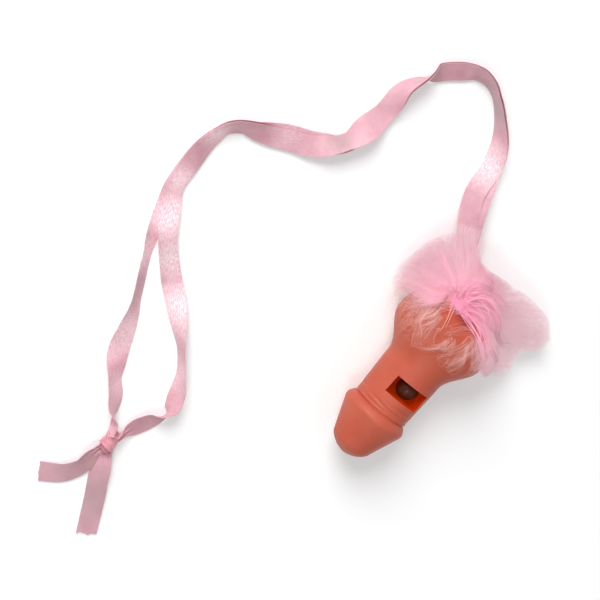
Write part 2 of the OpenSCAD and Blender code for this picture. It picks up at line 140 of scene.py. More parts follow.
# Ribbon routes, as in the part's source: x, y, height of the lowest edge, roll in degrees, and where it
# isn't 0 the sideways slip of the two layers where both legs run together, in mm
RIBBON_W = 7.0
RIBBON_T = 0.24
DRAWN_W = 2.8
LAYER_GAP = 0.7
OVER_LUG = 16.3
UNDER_LUG = 11.5
LEAD_A = [
    (-5.5, 0, OVER_LUG, 0), (-8, 0, OVER_LUG, 0), (-9.5, -4.5, 14, 0), (-10.5, -10.5, 10.5, 0),
]
LEAD_B = [
    (-5.5, 0, UNDER_LUG, 0), (-8, 0, UNDER_LUG, 0), (-9.5, -4.5, 10.5, 0), (-10.5, -10.5, 8.5, 0),
]
TOGETHER = [
    (-16, -13.5, 7, 0, 1.5), (-28.5, -19, 2, -20, 2.5), (-40, -21.5, 0.4, -30),
    (-46.5, -25, 0.4, -60), (-52.5, -30.5, 0.4, -80), (-57.5, -37, 0.4, -85),
    (-59.5, -42, 0.4, -70), (-59.5, -46.5, 0.4, -50), (-56, -52.5, 0.4, -25),
    (-52, -57, 0.4, -25), (-47, -60.5, 0.4, -80), (-41, -63.5, 0.4, -110),
    (-30, -63, 0.4, -170), (-22, -65, 0.4, -145, 2), (-14.5, -67.5, 0.4, -125),
    (-9, -73, 0.4, -160, 1), (-3, -85.5, 0.4, -190, 1.5), (0, -92, 0.4, -205, 0.5),
    (2, -97.5, 0.4, -225), (5.5, -101.5, 0.4, -225), (10.5, -103, 0.4, -215),
    (23.5, -103, 0.4, -195), (30.5, -102.5, 0.4, -195),
]
APART_A = [
    (39, -100, 0.4, -195), (47.5, -98, 0.4, -220), (54.5, -95, 0.4, -235),
    (66, -89, 0.4, -235), (76, -84.5, 0.4, -205), (85, -81, 0.4, -180),
    (93.5, -76, 0.4, -225), (98, -72, 0.4, -220), (101.5, -70, 0.4, -235),
    (105, -67, 0.8, -285), (109, -65.5, 2.4, -290),
]
APART_B = [
    (39, -98, 2.8, -185), (45.5, -93.5, 2.8, -200), (53, -85.5, 0.6, -190),
    (60.5, -77, 0.4, -160), (67.5, -70, 0.4, -120), (73, -64.5, 0.4, -100),
    (79, -59.5, 0.4, -105), (86.5, -55.5, 0.4, -130), (90, -54.5, 0.4, -115),
    (93.5, -55, 0.4, -60), (98, -57, 0.4, -25), (105, -61, 1, -20), (109, -63, 2.4, -45),
]
TAIL_LEFT = [
    (113, -65.5, 2.6, -20), (118, -66, 2, -25), (123, -65.5, 1.2, -20),
    (128.5, -68, 0.6, -10), (133.5, -75.5, 0.4, 0),
]
TAIL_RIGHT = [
    (113, -62.5, 1.6, 30), (117.5, -61, 1, 30), (123, -58.5, 0.4, 20),
    (130, -54.5, 0.4, 10), (142.5, -48, 0.4, 0),
]
KNOT_AT = np.array([111, -64, 3.4])
KNOT_TURN = math.radians(8)
KNOT_R, KNOT_HALF_LEN, KNOT_END = 2.35, 4.4, 0.12
KNOT_SWELL, KNOT_FOLD, KNOT_FOLDS = 0.06, 0.12, 9
# Wraps of the knot: name, shift along it, slant of the band, its radius, width and lean, in mm or as slopes
WRAPS = [("knot_wrap_a", 0.6, 0.18, 2.5, 3.0, 0.15), ("knot_wrap_b", -2.4, -0.15, 2.15, 1.6, -0.15)]
WRAP_ACROSS, WRAP_SWAY = 0.9, 0.15
WRAP_PLEAT, BIGHT_PLEAT, LEG_PLEAT = 0.1, 0.22, 0.5
LEG_DRAWN, KNOT_DRAWN, TAIL_DRAWN = 19, 9, 8
RING_STEP = 0.7
ROLL_SOFT = 0.002
RIBBON_SHARP_DEG, KNOT_SHARP_DEG = 50, 60


def slopes(t, v, limit):
    """Tangents of a curve through the values v at t, held back from overshoot where limit is set."""
    d = np.diff(v) / np.diff(t)
    h = np.diff(t)
    m = np.empty_like(v)
    m[0], m[-1] = d[0], d[-1]
    m[1:-1] = (d[:-1] * h[1:] + d[1:] * h[:-1]) / (h[1:] + h[:-1])
    if limit:
        most = 3 * np.minimum(np.abs(d[:-1]), np.abs(d[1:]))
        held = np.copysign(np.minimum(np.abs(m[1:-1]), most), d[1:])
        m[1:-1] = np.where(d[:-1] * d[1:] <= 0, 0, held)
    return m


def hermite(t, v, fine, limit):
    m = slopes(t, v, limit)
    i = np.clip(np.searchsorted(t, fine, side="right") - 1, 0, len(t) - 2)
    h = t[i + 1] - t[i]
    x = (fine - t[i]) / h
    return ((2 * x**3 - 3 * x**2 + 1) * v[i] + (x**3 - 2 * x**2 + x) * h * m[i]
            + (3 * x**2 - 2 * x**3) * v[i + 1] + (x**3 - x**2) * h * m[i + 1])


def ribbon_line(rows):
    """Fine centre points and cross directions of a ribbon. Each row ends in the layer's side, 1, -1 or 0."""
    rows = np.asarray(rows, float)
    t = arc_length(rows[:, :3])
    fine = np.linspace(0, t[-1], int(t[-1] / RING_STEP) + 1)
    x, y = (hermite(t, rows[:, k], fine, False) for k in (0, 1))
    low, roll, slip, side = (hermite(t, rows[:, k], fine, True) for k in (2, 3, 4, 5))
    roll = np.radians(roll)
    gap = LAYER_GAP * np.abs(side)
    lift = ((RIBBON_W + np.abs(slip)) / 2 * np.sqrt(np.sin(roll) ** 2 + ROLL_SOFT)
            + (gap + RIBBON_T) / 2 * np.abs(np.cos(roll)))
    line = np.stack([x, y, low + lift], 1)
    heading = unit_rows(np.gradient(line, axis=0))
    level = unit_rows(np.cross((0, 0, 1), heading))
    up = np.cross(heading, level)
    across = level * np.cos(roll)[:, None] + up * np.sin(roll)[:, None]
    normal = np.cross(heading, across)
    line = line + (normal * LAYER_GAP / 2 + across * (slip / 2)[:, None]) * side[:, None]
    return line, across


SECTION = np.linspace(-1, 1, 17)
SELVEDGE, SELVEDGE_T = 0.93, 0.75
# Waves of the strip's hollow along its route: height in mm, then radians for each mm of x and y
CUPS = ((0.16, 0.11, 0.07), (0.07, -0.2, 0.31))


def strip(name, line, across, width, pleat, pleats=2.5, ragged=0.0):
    """A closed satin strip along a line, with lengthwise pleats where it is drawn together, in mm."""
    count, row = len(line), len(SECTION)
    heading = unit_rows(np.gradient(line, axis=0))
    across = unit_rows(across - heading * np.sum(across * heading, 1, keepdims=True))
    normal = np.cross(heading, across)
    cup = sum(high * np.sin(by_x * line[:, 0] + by_y * line[:, 1]) for high, by_x, by_y in CUPS)
    width, pleat = (np.broadcast_to(np.asarray(v, float), (count,)) for v in (width, pleat))
    height = (cup[:, None] * (SECTION**2 - 0.4) * (width / RIBBON_W)[:, None]
              + pleat[:, None] * np.cos(pleats * math.pi * SECTION + 0.6))
    middle = (line[:, None] + across[:, None] * (SECTION * width[:, None] / 2)[..., None]
              + normal[:, None] * height[..., None])
    if ragged:
        fray = ragged * (np.sin(5.1 * SECTION + 1) + 0.6 * np.sin(11 * SECTION))
        middle[-1] += heading[-1] * fray[:, None]
    half = RIBBON_T / 2 * np.where(np.abs(SECTION) > SELVEDGE, SELVEDGE_T, 1.0)
    out = normal[:, None] * half[None, :, None]
    points = np.concatenate([middle + out, (middle - out)[:, ::-1]], 1).reshape(-1, 3)
    ring = 2 * row
    last = (count - 1) * ring
    caps = [[k + 1, k, ring - 1 - k, ring - 2 - k] for k in range(row - 1)]
    caps += [[last + p for p in face[::-1]] for face in caps]
    obj = add_mesh(name, points, tube_faces(count, ring).tolist() + caps, RIBBON_SHARP_DEG)
    obj.data.flip_normals()
    place = np.concatenate([SECTION, SECTION[::-1]]) * RIBBON_W / 2
    uv_of = np.stack([np.repeat(arc_length(line), ring), np.tile(place, count)], 1) * MM
    layer = obj.data.uv_layers.new(name="cloth")
    index = np.empty(len(obj.data.loops), int)
    obj.data.loops.foreach_get("vertex_index", index)
    layer.data.foreach_set("uv", uv_of[index].astype(np.float32).ravel())
    return obj


def drawn(count, first, last):
    """Width along a strip that is drawn together over so many mm at its first and last end."""
    along = np.arange(count) * RING_STEP
    open_share = smooth(along / first)
    if last:
        open_share = np.minimum(open_share, smooth(along[::-1] / last))
    return mix(DRAWN_W, RIBBON_W, open_share)


def with_side(rows, side):
    """Rows of a route with their slip, 0 where none is given, and the layer's side."""
    return [(*row, 0)[:5] + (side,) for row in rows]


def ribbon_piece(name, rows, node, first, last=0.0, ragged=0.0):
    """A length of ribbon along a route, and its centre line."""
    line, across = ribbon_line(rows)
    width = drawn(len(line), first, last)
    pleat = LEG_PLEAT * (1 - smooth((width - DRAWN_W) / (RIBBON_W - DRAWN_W)))
    return hand_over(strip(name, line, across, width, pleat, ragged=ragged), node), line


def bight():
    """The turn of ribbon through the eyelet, drawn together."""
    route = np.array([(-5.5, 0, 16.5), (-3.5, 0, 16.56), (-1.6, 0, 16.46), (-0.6, 0, 15.9), (-0.4, 0, 14.8),
                      (-0.4, 0, 13.4), (-0.6, 0, 12.4), (-1.6, 0, 11.74), (-3.5, 0, 11.64), (-5.5, 0, 11.7)])
    t = arc_length(route)
    fine = np.linspace(0, t[-1], 70)
    line = np.stack([hermite(t, route[:, k], fine, False) for k in range(3)], 1)
    across = np.tile((0.0, -1.0, 0.0), (len(line), 1))
    return hand_over(strip("ribbon_turn", line, across, DRAWN_W, BIGHT_PLEAT), "ribbon_bight")


def loop_band(centre, axis_a, axis_b, radius, lean):
    """Line and cross directions of a closed band that wraps the knot."""
    a = np.linspace(0, 2 * math.pi, 90)
    out = np.outer(np.cos(a), axis_a) * radius + np.outer(np.sin(a), axis_b) * radius
    face = np.cross(axis_a, axis_b)
    line = centre + out + np.outer(np.sin(2 * a) * WRAP_SWAY, face)
    return line, unit_rows(face[None] + lean * unit_rows(out))


def knot():
    """Overhand knot: a gathered core and two wraps that cross over it."""
    d = np.array([math.cos(KNOT_TURN), math.sin(KNOT_TURN), 0])
    w = np.array([-d[1], d[0], 0])
    up = np.array([0.0, 0, 1])
    theta = np.linspace(KNOT_END, math.pi - KNOT_END, 40)
    phi = np.linspace(0, 2 * math.pi, 73)[:-1]
    swell = 1 + KNOT_SWELL * np.sin(3 * phi)[None] * np.sin(theta)[:, None]
    fold = KNOT_FOLD * np.cos(KNOT_FOLDS * phi + 1.3)[None] * np.abs(np.cos(theta))[:, None] ** 0.5
    r = (KNOT_R * np.sin(theta)[:, None] ** 0.8) * swell + fold
    core = (KNOT_AT + d * (-KNOT_HALF_LEN * np.cos(theta))[:, None, None]
            + w * (r * np.cos(phi))[..., None] + up * (r * np.sin(phi))[..., None])
    rows, ring = core.shape[:2]
    quads = inside_out(tube_faces(rows, ring)).tolist()
    caps = [list(range(ring)), list(range((rows - 1) * ring, rows * ring))[::-1]]
    main = add_mesh("knot", core.reshape(-1, 3), quads + caps, KNOT_SHARP_DEG)
    main.data.uv_layers.new(name="cloth")
    pieces = [hand_over(main, "ribbon_knot")]
    for name, shift, slant, radius, width, lean in WRAPS:
        tilt = unit_rows(w * WRAP_ACROSS + d * slant)
        line, side = loop_band(KNOT_AT + d * shift, tilt, up, radius, lean)
        pieces.append(hand_over(strip(name, line, side, width, WRAP_PLEAT, pleats=1.5)))
    return pieces


add_camera()
knot_pieces = knot()
route_a = with_side(LEAD_A, 0) + with_side(TOGETHER, 1) + with_side(APART_A, 0)
route_b = with_side(LEAD_B, 0) + with_side(TOGETHER, -1) + with_side(APART_B, 0)
leg_a, line_a = ribbon_piece("ribbon_a", route_a, "ribbon_leg_a", LEG_DRAWN, KNOT_DRAWN)
leg_b, line_b = ribbon_piece("ribbon_b", route_b, "ribbon_leg_b", LEG_DRAWN, KNOT_DRAWN)
ends = [
    ribbon_piece("ribbon_end_" + side, with_side(rows, 0), "ribbon_tail_" + side, TAIL_DRAWN, ragged=fray)[0]
    for side, rows, fray in (("left", TAIL_LEFT, 0.12), ("right", TAIL_RIGHT, 0.3))
]
turn = bight()
ribbon = [leg_a, leg_b, *ends, turn]

# Body, in sizes as in the part's source
NOSE_LEN, NOSE_R, NOSE_POWER = 4.5, 7.5, 0.55
COLLAR_AT, COLLAR_R = 16.5, 12.1
NECK_AT, NECK_R = 20.1, 10.3
SHAFT_END, SHAFT_R = 37, 10.8
FLARE_LEN, BASE_HOLD, REAR_LEN = 13.5, 2.5, 11.5
BASE_HALF_W, BASE_HALF_H, BASE_POWER = 17.8, 12.8, 2.5
CLEFT_DEPTH, CLEFT_SHARE, CLEFT_W = 3, 0.2, 4
CUT_PAST = 1
BORE_R, BORE_AT, BORE_END = 8.7, 12, 47.7
LOBE_HOLLOW_R, LOBE_HOLLOW_Y = 7.8, 7.4
WINDOW_AT, WINDOW_LEN, WINDOW_W = 26.2, 6.6, 13.6
SLOT_W, SLOT_H, SLOT_OUT, SLOT_PAST = 9, 1.8, 5.4, 4
WEB_T, WEB_INSET, WEB_HALF_W, WEB_SEAT, TUB_BOTTOM = 1.5, 3, 7.7, 0.5, 2.3
LUG_T, LUG_R, LUG_NECK, LUG_RISE, EYELET_R, EYELET_REACH = 3, 3.5, 6, 0.5, 2, 1.5
ROUND_AT = SHAFT_END + FLARE_LEN + BASE_HOLD
BODY_LEN = ROUND_AT + REAR_LEN
TIP_X = BODY_LEN + EYELET_REACH
WINDOW_FRONT = TIP_X - WINDOW_AT
WINDOW_REAR = WINDOW_FRONT - WINDOW_LEN
WINDOW_ROUND = 0.14
CREST_FROM, CREST_TO, CREST_BLEND = 11, 22, 3
CREST_SOFT = ((-1.0, 0.1), (-0.5, 0.24), (0, 0.32), (0.5, 0.24), (1.0, 0.1))
BODY_SHARP_DEG = 32
AXIS_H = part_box("upper_shell")[0].z / MM
LUG_Z = AXIS_H + LUG_RISE


def flare(u):
    return smooth((u - SHAFT_END) / FLARE_LEN)


def sharp_size(u, base):
    dome = (1 - (1 - np.clip(u / NOSE_LEN, 0, 1)) ** 2) ** NOSE_POWER
    bulb = mix(NOSE_R, COLLAR_R, (u - NOSE_LEN) / (COLLAR_AT - NOSE_LEN)) * dome
    back = mix(COLLAR_R, NECK_R, smooth((u - COLLAR_AT) / (NECK_AT - COLLAR_AT)))
    shaft = mix(NECK_R, SHAFT_R, smooth((u - NECK_AT) / (SHAFT_END - NECK_AT)))
    rounding = np.sqrt(np.clip(1 - (np.maximum(u - ROUND_AT, 0) / REAR_LEN) ** 2, 0, 1))
    rear = (shaft + (base - SHAFT_R) * flare(u)) * rounding
    return np.where(u < COLLAR_AT, bulb, np.where(u < NECK_AT, back, rear))


def half_size(u, base):
    """Half width or height of the body, with the collar's crest rounded off."""
    soft = sum(share * sharp_size(u + step, base) for step, share in CREST_SOFT)
    return mix(sharp_size(u, base), soft,
               smooth((u - CREST_FROM) / CREST_BLEND) * (1 - smooth((u - CREST_TO) / CREST_BLEND)))


def power(u):
    return mix(2, BASE_POWER, flare(u))


def cleft(y):
    return np.exp(-((y / CLEFT_W) ** 2))


# Creases: distance from the tip, width, depth, sway and its turn, and the share that is even all round
WRINKLES = ((19.45, 0.3, 0.65, 0.08, 0.4, 0.9), (20.9, 0.28, 0.3, 0.35, 0.8, 0.55),
            (22.1, 0.28, 0.3, 0.4, 2.0, 0.5), (23.4, 0.28, 0.22, 0.3, 4.0, 0.4))
WRINKLES_FROM, WRINKLES_TO = 18.5, 25.2
SEAM_DEPTH, SEAM_H = 0.1, 0.16


def wrinkle(u, angle):
    """Soft ring creases in the neck behind the collar, in mm into the skin."""
    depth = np.zeros(np.broadcast(u, angle).shape)
    for at, width, deep, sway, turn, even in WRINKLES:
        centre = at + sway * np.sin(2 * angle + turn)
        strength = even + (1 - even) * np.sin(3 * angle + turn)
        depth += deep * strength * np.exp(-(((u - centre) / width) ** 2))
    return depth


def skin(u, angle, up):
    e = 2 / power(u)
    w, h = half_size(u, BASE_HALF_W), half_size(u, BASE_HALF_H)
    inward = wrinkle(u, angle if up > 0 else -angle)
    y = (w - inward) * np.sign(np.cos(angle)) * np.abs(np.cos(angle)) ** e
    z = (h - inward) * np.abs(np.sin(angle)) ** e
    if up < 0:
        z = z * (1 - CLEFT_SHARE * cleft(y) * flare(u))
    y = y - np.sign(y) * SEAM_DEPTH * np.exp(-((z / SEAM_H) ** 2))
    back = CLEFT_DEPTH * cleft(y) * smooth((u - ROUND_AT) / REAR_LEN)
    return np.stack(np.broadcast_arrays(TIP_X - u + back, y, AXIS_H + up * z), -1)


def half_body(up):
    """Points and faces of half of the body, solid, closed at the parting plane."""
    edge = np.radians([0, 0.35, 0.7, 1.1, 1.6, 2.4, 3.6, 5])
    angle = np.concatenate([edge, np.radians(np.linspace(7, 173, 70)), math.pi - edge[::-1]])
    u = np.concatenate([
        NOSE_LEN * np.linspace(0.02, 1, 26) ** 2,
        np.linspace(NOSE_LEN, WRINKLES_FROM, 34)[1:],
        np.linspace(WRINKLES_FROM, WRINKLES_TO, 42)[1:],
        np.linspace(WRINKLES_TO, ROUND_AT, 52)[1:],
        ROUND_AT + REAR_LEN * np.sin(np.linspace(0, 0.985 * math.pi / 2, 26)[1:]),
    ])
    grid = skin(u[:, None], angle[None], up)
    rows, row = grid.shape[:2]
    ends = [[TIP_X, 0, AXIS_H], [TIP_X - BODY_LEN + CLEFT_DEPTH, 0, AXIS_H]]
    points = np.concatenate([grid.reshape(-1, 3), ends])
    nose, rear = rows * row, rows * row + 1
    a = (np.arange(rows - 1)[:, None] * row + np.arange(row - 1)).ravel()
    faces = np.stack([a, a + 1, a + row + 1, a + row], 1).tolist()
    last = (rows - 1) * row
    faces += [[nose, k + 1, k] for k in range(row - 1)]
    faces += [[rear, last + k, last + k + 1] for k in range(row - 1)]
    faces += [[j * row + row - 1, j * row, (j + 1) * row, (j + 1) * row + row - 1] for j in range(rows - 1)]
    faces += [[nose, 0, row - 1], [rear, last + row - 1, last]]
    if up > 0:
        faces = [f[::-1] for f in faces]
    return points, faces


def cylinder_between(a, b, r, sides=96):
    """A closed cylinder as points and faces, in mm."""
    a, b = np.asarray(a, float), np.asarray(b, float)
    d = unit_rows(b - a)
    s = unit_rows(np.cross(d, (0, 1, 0) if abs(d[1]) < 0.9 else (1, 0, 0)))
    n = np.cross(d, s)
    t = np.linspace(0, 2 * math.pi, sides + 1)[:-1]
    ring = np.outer(np.cos(t), s) * r + np.outer(np.sin(t), n) * r
    return np.concatenate([a + ring, b + ring]), prism_faces(sides)


def box_points(low, high):
    corners = np.array(list(itertools.product(*zip(low, high))), float)
    return corners, [[0, 1, 3, 2], [4, 6, 7, 5], [0, 4, 5, 1], [2, 3, 7, 6], [0, 2, 6, 4], [1, 5, 7, 3]]


def sphere_points(centre, r, rows=32, sides=64):
    theta = np.linspace(0, math.pi, rows + 1)[1:-1]
    phi = np.linspace(0, 2 * math.pi, sides + 1)[:-1]
    ring = np.sin(theta)[:, None]
    grid = np.stack(np.broadcast_arrays(ring * np.cos(phi), ring * np.sin(phi), np.cos(theta)[:, None]), -1)
    grid = grid.reshape(-1, 3)
    points = np.concatenate([grid, [[0, 0, 1], [0, 0, -1]]]) * r + centre
    top, low = len(grid), len(grid) + 1
    n = len(theta)
    faces = inside_out(tube_faces(n, sides)).tolist()
    faces += [[top, k, (k + 1) % sides] for k in range(sides)]
    faces += [[low, (n - 1) * sides + (k + 1) % sides, (n - 1) * sides + k] for k in range(sides)]
    return points, faces


def apply_boolean(obj, shape, operation):
    """Cuts a shape out of obj, or joins it on."""
    tool = add_mesh("tool", *shape)
    modifier = obj.modifiers.new("cut", "BOOLEAN")
    modifier.operation = operation
    modifier.solver = "MANIFOLD"
    modifier.object = tool
    bpy.context.view_layer.update()
    evaluated = obj.evaluated_get(bpy.context.evaluated_depsgraph_get())
    mesh = bpy.data.meshes.new_from_object(evaluated)
    obj.modifiers.clear()
    obj.data = mesh
    bpy.data.objects.remove(tool)


def windway_box():
    """The slanted slot from the nose into the bore, as points turned about the nose tip."""
    low, high = (-BORE_AT - CUT_PAST, -SLOT_W / 2, -SLOT_H / 2), (SLOT_PAST, SLOT_W / 2, SLOT_H / 2)
    points, faces = box_points(low, high)
    tilt = math.atan(SLOT_OUT / WINDOW_AT)
    c, s = math.cos(tilt), math.sin(tilt)
    x, y, z = points.T
    return np.stack([x * c + z * s + TIP_X, y, -x * s + z * c + AXIS_H], 1), faces


def soften_window(obj):
    """Rounds the sharp rims of the sound window a little."""
    bm = bmesh.new()
    bm.from_mesh(obj.data)
    half, close, margin, lowest, sharp = WINDOW_W / 2, 0.02, 0.05, AXIS_H + 4.8, 0.5
    rim = []
    for e in bm.edges:
        c = (e.verts[0].co + e.verts[1].co) / 2 / MM
        across = min(abs(c.x - WINDOW_REAR), abs(c.x - WINDOW_FRONT)) < close
        along = WINDOW_REAR - margin < c.x < WINDOW_FRONT + margin
        inside = along and abs(c.y) < half + margin and c.z > lowest
        on_rim = inside and (across or abs(abs(c.y) - half) < close)
        if on_rim and len(e.link_faces) == 2 and e.calc_face_angle(0) > sharp:
            rim.append(e)
    bmesh.ops.bevel(bm, geom=rim, offset=WINDOW_ROUND * MM, segments=3, profile=0.5, affect="EDGES",
                    clamp_overlap=True)
    bm.to_mesh(obj.data)
    bm.free()


def web_points(u):
    """A web across the bore, below the chamber's tub."""
    y = np.linspace(-WEB_HALF_W, WEB_HALF_W, 25)
    under = np.stack([y, -np.sqrt((BORE_R + WEB_SEAT) ** 2 - y**2)], 1)
    rim = np.concatenate([under, [[WEB_HALF_W, -TUB_BOTTOM], [-WEB_HALF_W, -TUB_BOTTOM]]])
    points = [[TIP_X - u + shift, a, AXIS_H + b] for shift in (-WEB_T / 2, WEB_T / 2) for a, b in rim]
    return points, prism_faces(len(rim))


def body_half(name, node, up):
    obj = add_mesh(name, *half_body(up))
    if up > 0:
        top = LUG_Z + LUG_T
        inner_end = EYELET_REACH + CLEFT_DEPTH + CUT_PAST
        plate = box_points((0, -LUG_NECK / 2, LUG_Z), (inner_end, LUG_NECK / 2, top))
        apply_boolean(obj, plate, "UNION")
        apply_boolean(obj, cylinder_between((0, 0, LUG_Z), (0, 0, top), LUG_R), "UNION")
        eyelet = cylinder_between((0, 0, LUG_Z - CUT_PAST), (0, 0, top + CUT_PAST), EYELET_R)
        apply_boolean(obj, eyelet, "DIFFERENCE")
    bore = cylinder_between((TIP_X - BORE_END, 0, AXIS_H), (TIP_X - BORE_AT, 0, AXIS_H), BORE_R)
    apply_boolean(obj, bore, "DIFFERENCE")
    for side in (-1, 1):
        lobe = sphere_points(np.array([TIP_X - ROUND_AT, side * LOBE_HOLLOW_Y, AXIS_H]), LOBE_HOLLOW_R)
        apply_boolean(obj, lobe, "DIFFERENCE")
    apply_boolean(obj, windway_box(), "DIFFERENCE")
    if up > 0:
        window = box_points((WINDOW_REAR, -WINDOW_W / 2, AXIS_H + 1),
                            (WINDOW_FRONT, WINDOW_W / 2, AXIS_H + 2 * COLLAR_R))
        apply_boolean(obj, window, "DIFFERENCE")
        soften_window(obj)
    else:
        for u in (WINDOW_AT + WEB_INSET + WEB_T / 2, BORE_END - WEB_INSET - WEB_T / 2):
            apply_boolean(obj, web_points(u), "UNION")
    shade_smooth(obj.data, BODY_SHARP_DEG)
    return hand_over(obj, node)


def inside_faces(obj):
    """One flag for each face: True on the walls of the bore and of the sound window."""
    centre, normal = np.empty((2, 3 * len(obj.data.polygons)))
    obj.data.polygons.foreach_get("center", centre)
    obj.data.polygons.foreach_get("normal", normal)
    x, y, z = centre.reshape(-1, 3).T / MM
    margin = 0.03
    inward = y * normal[1::3] + (z - AXIS_H) * normal[2::3] < 0
    bore = inward & (np.hypot(y, z - AXIS_H) < BORE_R + margin) & (x < TIP_X - BORE_AT + margin)
    window = (np.abs(y) < WINDOW_W / 2 + margin) & (x > WINDOW_REAR - margin) & (x < WINDOW_FRONT + margin)
    return bore | (window & (z > AXIS_H))


body = [body_half("body_upper", "upper_shell", 1), body_half("body_lower", "lower_shell", -1)]

# Feather tuft: strands that follow the drape of each plume and meet at a gather beside the root
ROOT_X, ROOT_Y = 2.5, -6.5
GATHER_X, GATHER_Y, GATHER_SPAN = -2.1, -3.7, 6.0
QUILL_PROUD = 1.7
PLUME_ROOT_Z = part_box("quill_bundle")[1].z / MM - QUILL_PROUD
BUNDLE_RISE, BUNDLE_R = 2.2, 2.2
PLUME_FIT, PLUME_T, PLUME_EDGE = 0.5, 2.4, 0.35
DRAPE_SOFT, DRAPE_SIDE = 4.0, 3.0
STRAND_CORNERS = (0, 2.0944, 4.1888)
STRAND_TONES = (0.6, 1.15)
DOWN_R = (0.016, 0.028)
COVER_COUNT, COVER_R = 700, 1.3


def body_top(x, y):
    u = TIP_X - x
    w = half_size(np.clip(u, 0.01, BODY_LEN), BASE_HALF_W) + DRAPE_SIDE
    h = half_size(np.clip(u, 0.01, BODY_LEN), BASE_HALF_H)
    p = power(u)
    on = (u > 0) & (u < BODY_LEN) & (np.abs(y) < w)
    share = np.clip(1 - (np.abs(y) / w) ** p, 0, 1) ** (1 / p)
    return np.where(on, h * share, -AXIS_H)


def drape(x, y, f, tip_z):
    lying = AXIS_H + body_top(x, y) + PLUME_FIT
    hanging = mix(PLUME_ROOT_Z, tip_z, smooth(f))
    gap = np.maximum(DRAPE_SOFT - np.abs(lying - hanging), 0)
    return np.maximum(lying, hanging) + gap**2 / (4 * DRAPE_SOFT)


def strands(name, paths, radius, tone, tip):
    """Tapered three-sided strands along paths (strand, step, xyz) in mm, as one mesh with a tone for each."""
    count, steps = paths.shape[:2]
    heading = unit_rows(np.gradient(paths, axis=1) + 1e-9)
    side = unit_rows(np.cross(heading, (0.31, 0.17, 0.93)))
    other = np.cross(heading, side)
    r = radius[:, None] * np.linspace(1, tip, steps)[None]
    points = np.stack([paths + (math.cos(a) * side + math.sin(a) * other) * r[..., None]
                       for a in STRAND_CORNERS], 2)
    first = np.arange(count) * steps * 3
    final = first + (steps - 1) * 3
    quads = (tube_faces(steps, 3)[None] + first[:, None, None]).reshape(-1, 4)
    caps = np.concatenate([first[:, None] + (2, 1, 0), final[:, None] + (0, 1, 2)])
    mesh = bpy.data.meshes.new(name)
    points = (points.reshape(-1, 3) * MM).astype(np.float32)
    mesh.vertices.add(len(points))
    mesh.vertices.foreach_set("co", points.ravel())
    loops = np.concatenate([quads.ravel(), caps.ravel()]).astype(np.int32)
    mesh.loops.add(len(loops))
    mesh.loops.foreach_set("vertex_index", loops)
    sizes = np.repeat((4, 3), (len(quads), len(caps)))
    mesh.polygons.add(len(sizes))
    mesh.polygons.foreach_set("loop_start", (np.cumsum(sizes) - sizes).astype(np.int32))
    mesh.update(calc_edges=True)
    shade = mesh.attributes.new("tone", "FLOAT", "POINT")
    shade.data.foreach_set("value", np.repeat(tone, steps * 3).astype(np.float32))
    mesh.validate()
    return link_mesh(name, mesh)


# Each plume: name, edges in degrees, tip height, then long barbs for each degree of the fan, where along
# it they start, how far they lean round the root in degrees, fine down for each square millimetre and the
# barbs' mean radius
PLUMES = [
    ("front", 7, 62, 12, 3, 0.45, -14, 0.15, 0.015),
    ("front_right", 62, 91, 9, 30, 0.36, -3, 6.5, 0.03),
    ("right", 91, 107, 7, 64, 0.03, 0, 9.0, 0.03),
    ("rear_right", 107, 120, 9, 72, 0.02, 0, 9.0, 0.03),
    ("rear", 120, 221, 17, 34, 0.02, 0, 8.0, 0.03),
    ("rear_left", 221, 262, 9, 60, 0.02, 8, 8.0, 0.03),
    ("left", 262, 299, 9, 46, 0.03, -3, 4.5, 0.03),
    ("front_left", 299, 347, 12, 4, 0.3, 10, 0.15, 0.015),
]
# The tuft's outline: angle and distance from the root
RIM = [(7, 18), (36, 24), (48, 24), (60, 27), (66, 33), (72, 37), (78, 38), (84, 36.5), (90, 36), (96, 42),
       (102, 44), (108, 41), (114, 37.5), (120, 32.5), (126, 28.5), (132, 24), (138, 21), (150, 18),
       (162, 16), (174, 15), (186, 15.5), (198, 20), (210, 22.5), (222, 22.5), (234, 21.5), (246, 20.5),
       (264, 20), (276, 21), (294, 21.5), (300, 20), (312, 19), (324, 20.5), (336, 21.5), (347, 21)]
RIM_DEG, RIM_REACH = np.array(RIM, float).T
TIP_DEG = np.array([(row[1] + row[2]) / 2 for row in PLUMES])
TIP_Z = np.array([row[3] for row in PLUMES], float)
BARB_STEPS = 9
DOWN_STEPS = 6
LOCK_STEPS = 14
CLUMP = 10
EDGE_DEG = 5
# Chance in the barbs, for a clump and for each strand of it: degrees round the root, shares and tone
BARB_SWAY, BARB_WAVE, BARB_STRAY = (8, 2.5), 2.2, 1.6
BARB_START, BARB_HEIGHT, BARB_TONE = (0.28, 0.04), (0.25, 0.12), (0.09, 0.04)
# Chance in the down, the gather's cover and the locks: turn and bend in radians, length in mm, tone
DOWN_TURN, DOWN_BEND, DOWN_LEN, DOWN_TONE = 0.55, 0.7, (2.0, 6.0), (0.98, 0.06)
COVER_TURN, COVER_BEND, COVER_LEN, COVER_TONE = 0.5, 0.6, (1.5, 3.5), (0.95, 0.12)
LOCK_TONE, LOCK_STRAND_TONE = (0.95, 0.17), 0.04


def fan_reach(deg):
    return np.interp(deg % 360, RIM_DEG, RIM_REACH, period=360)


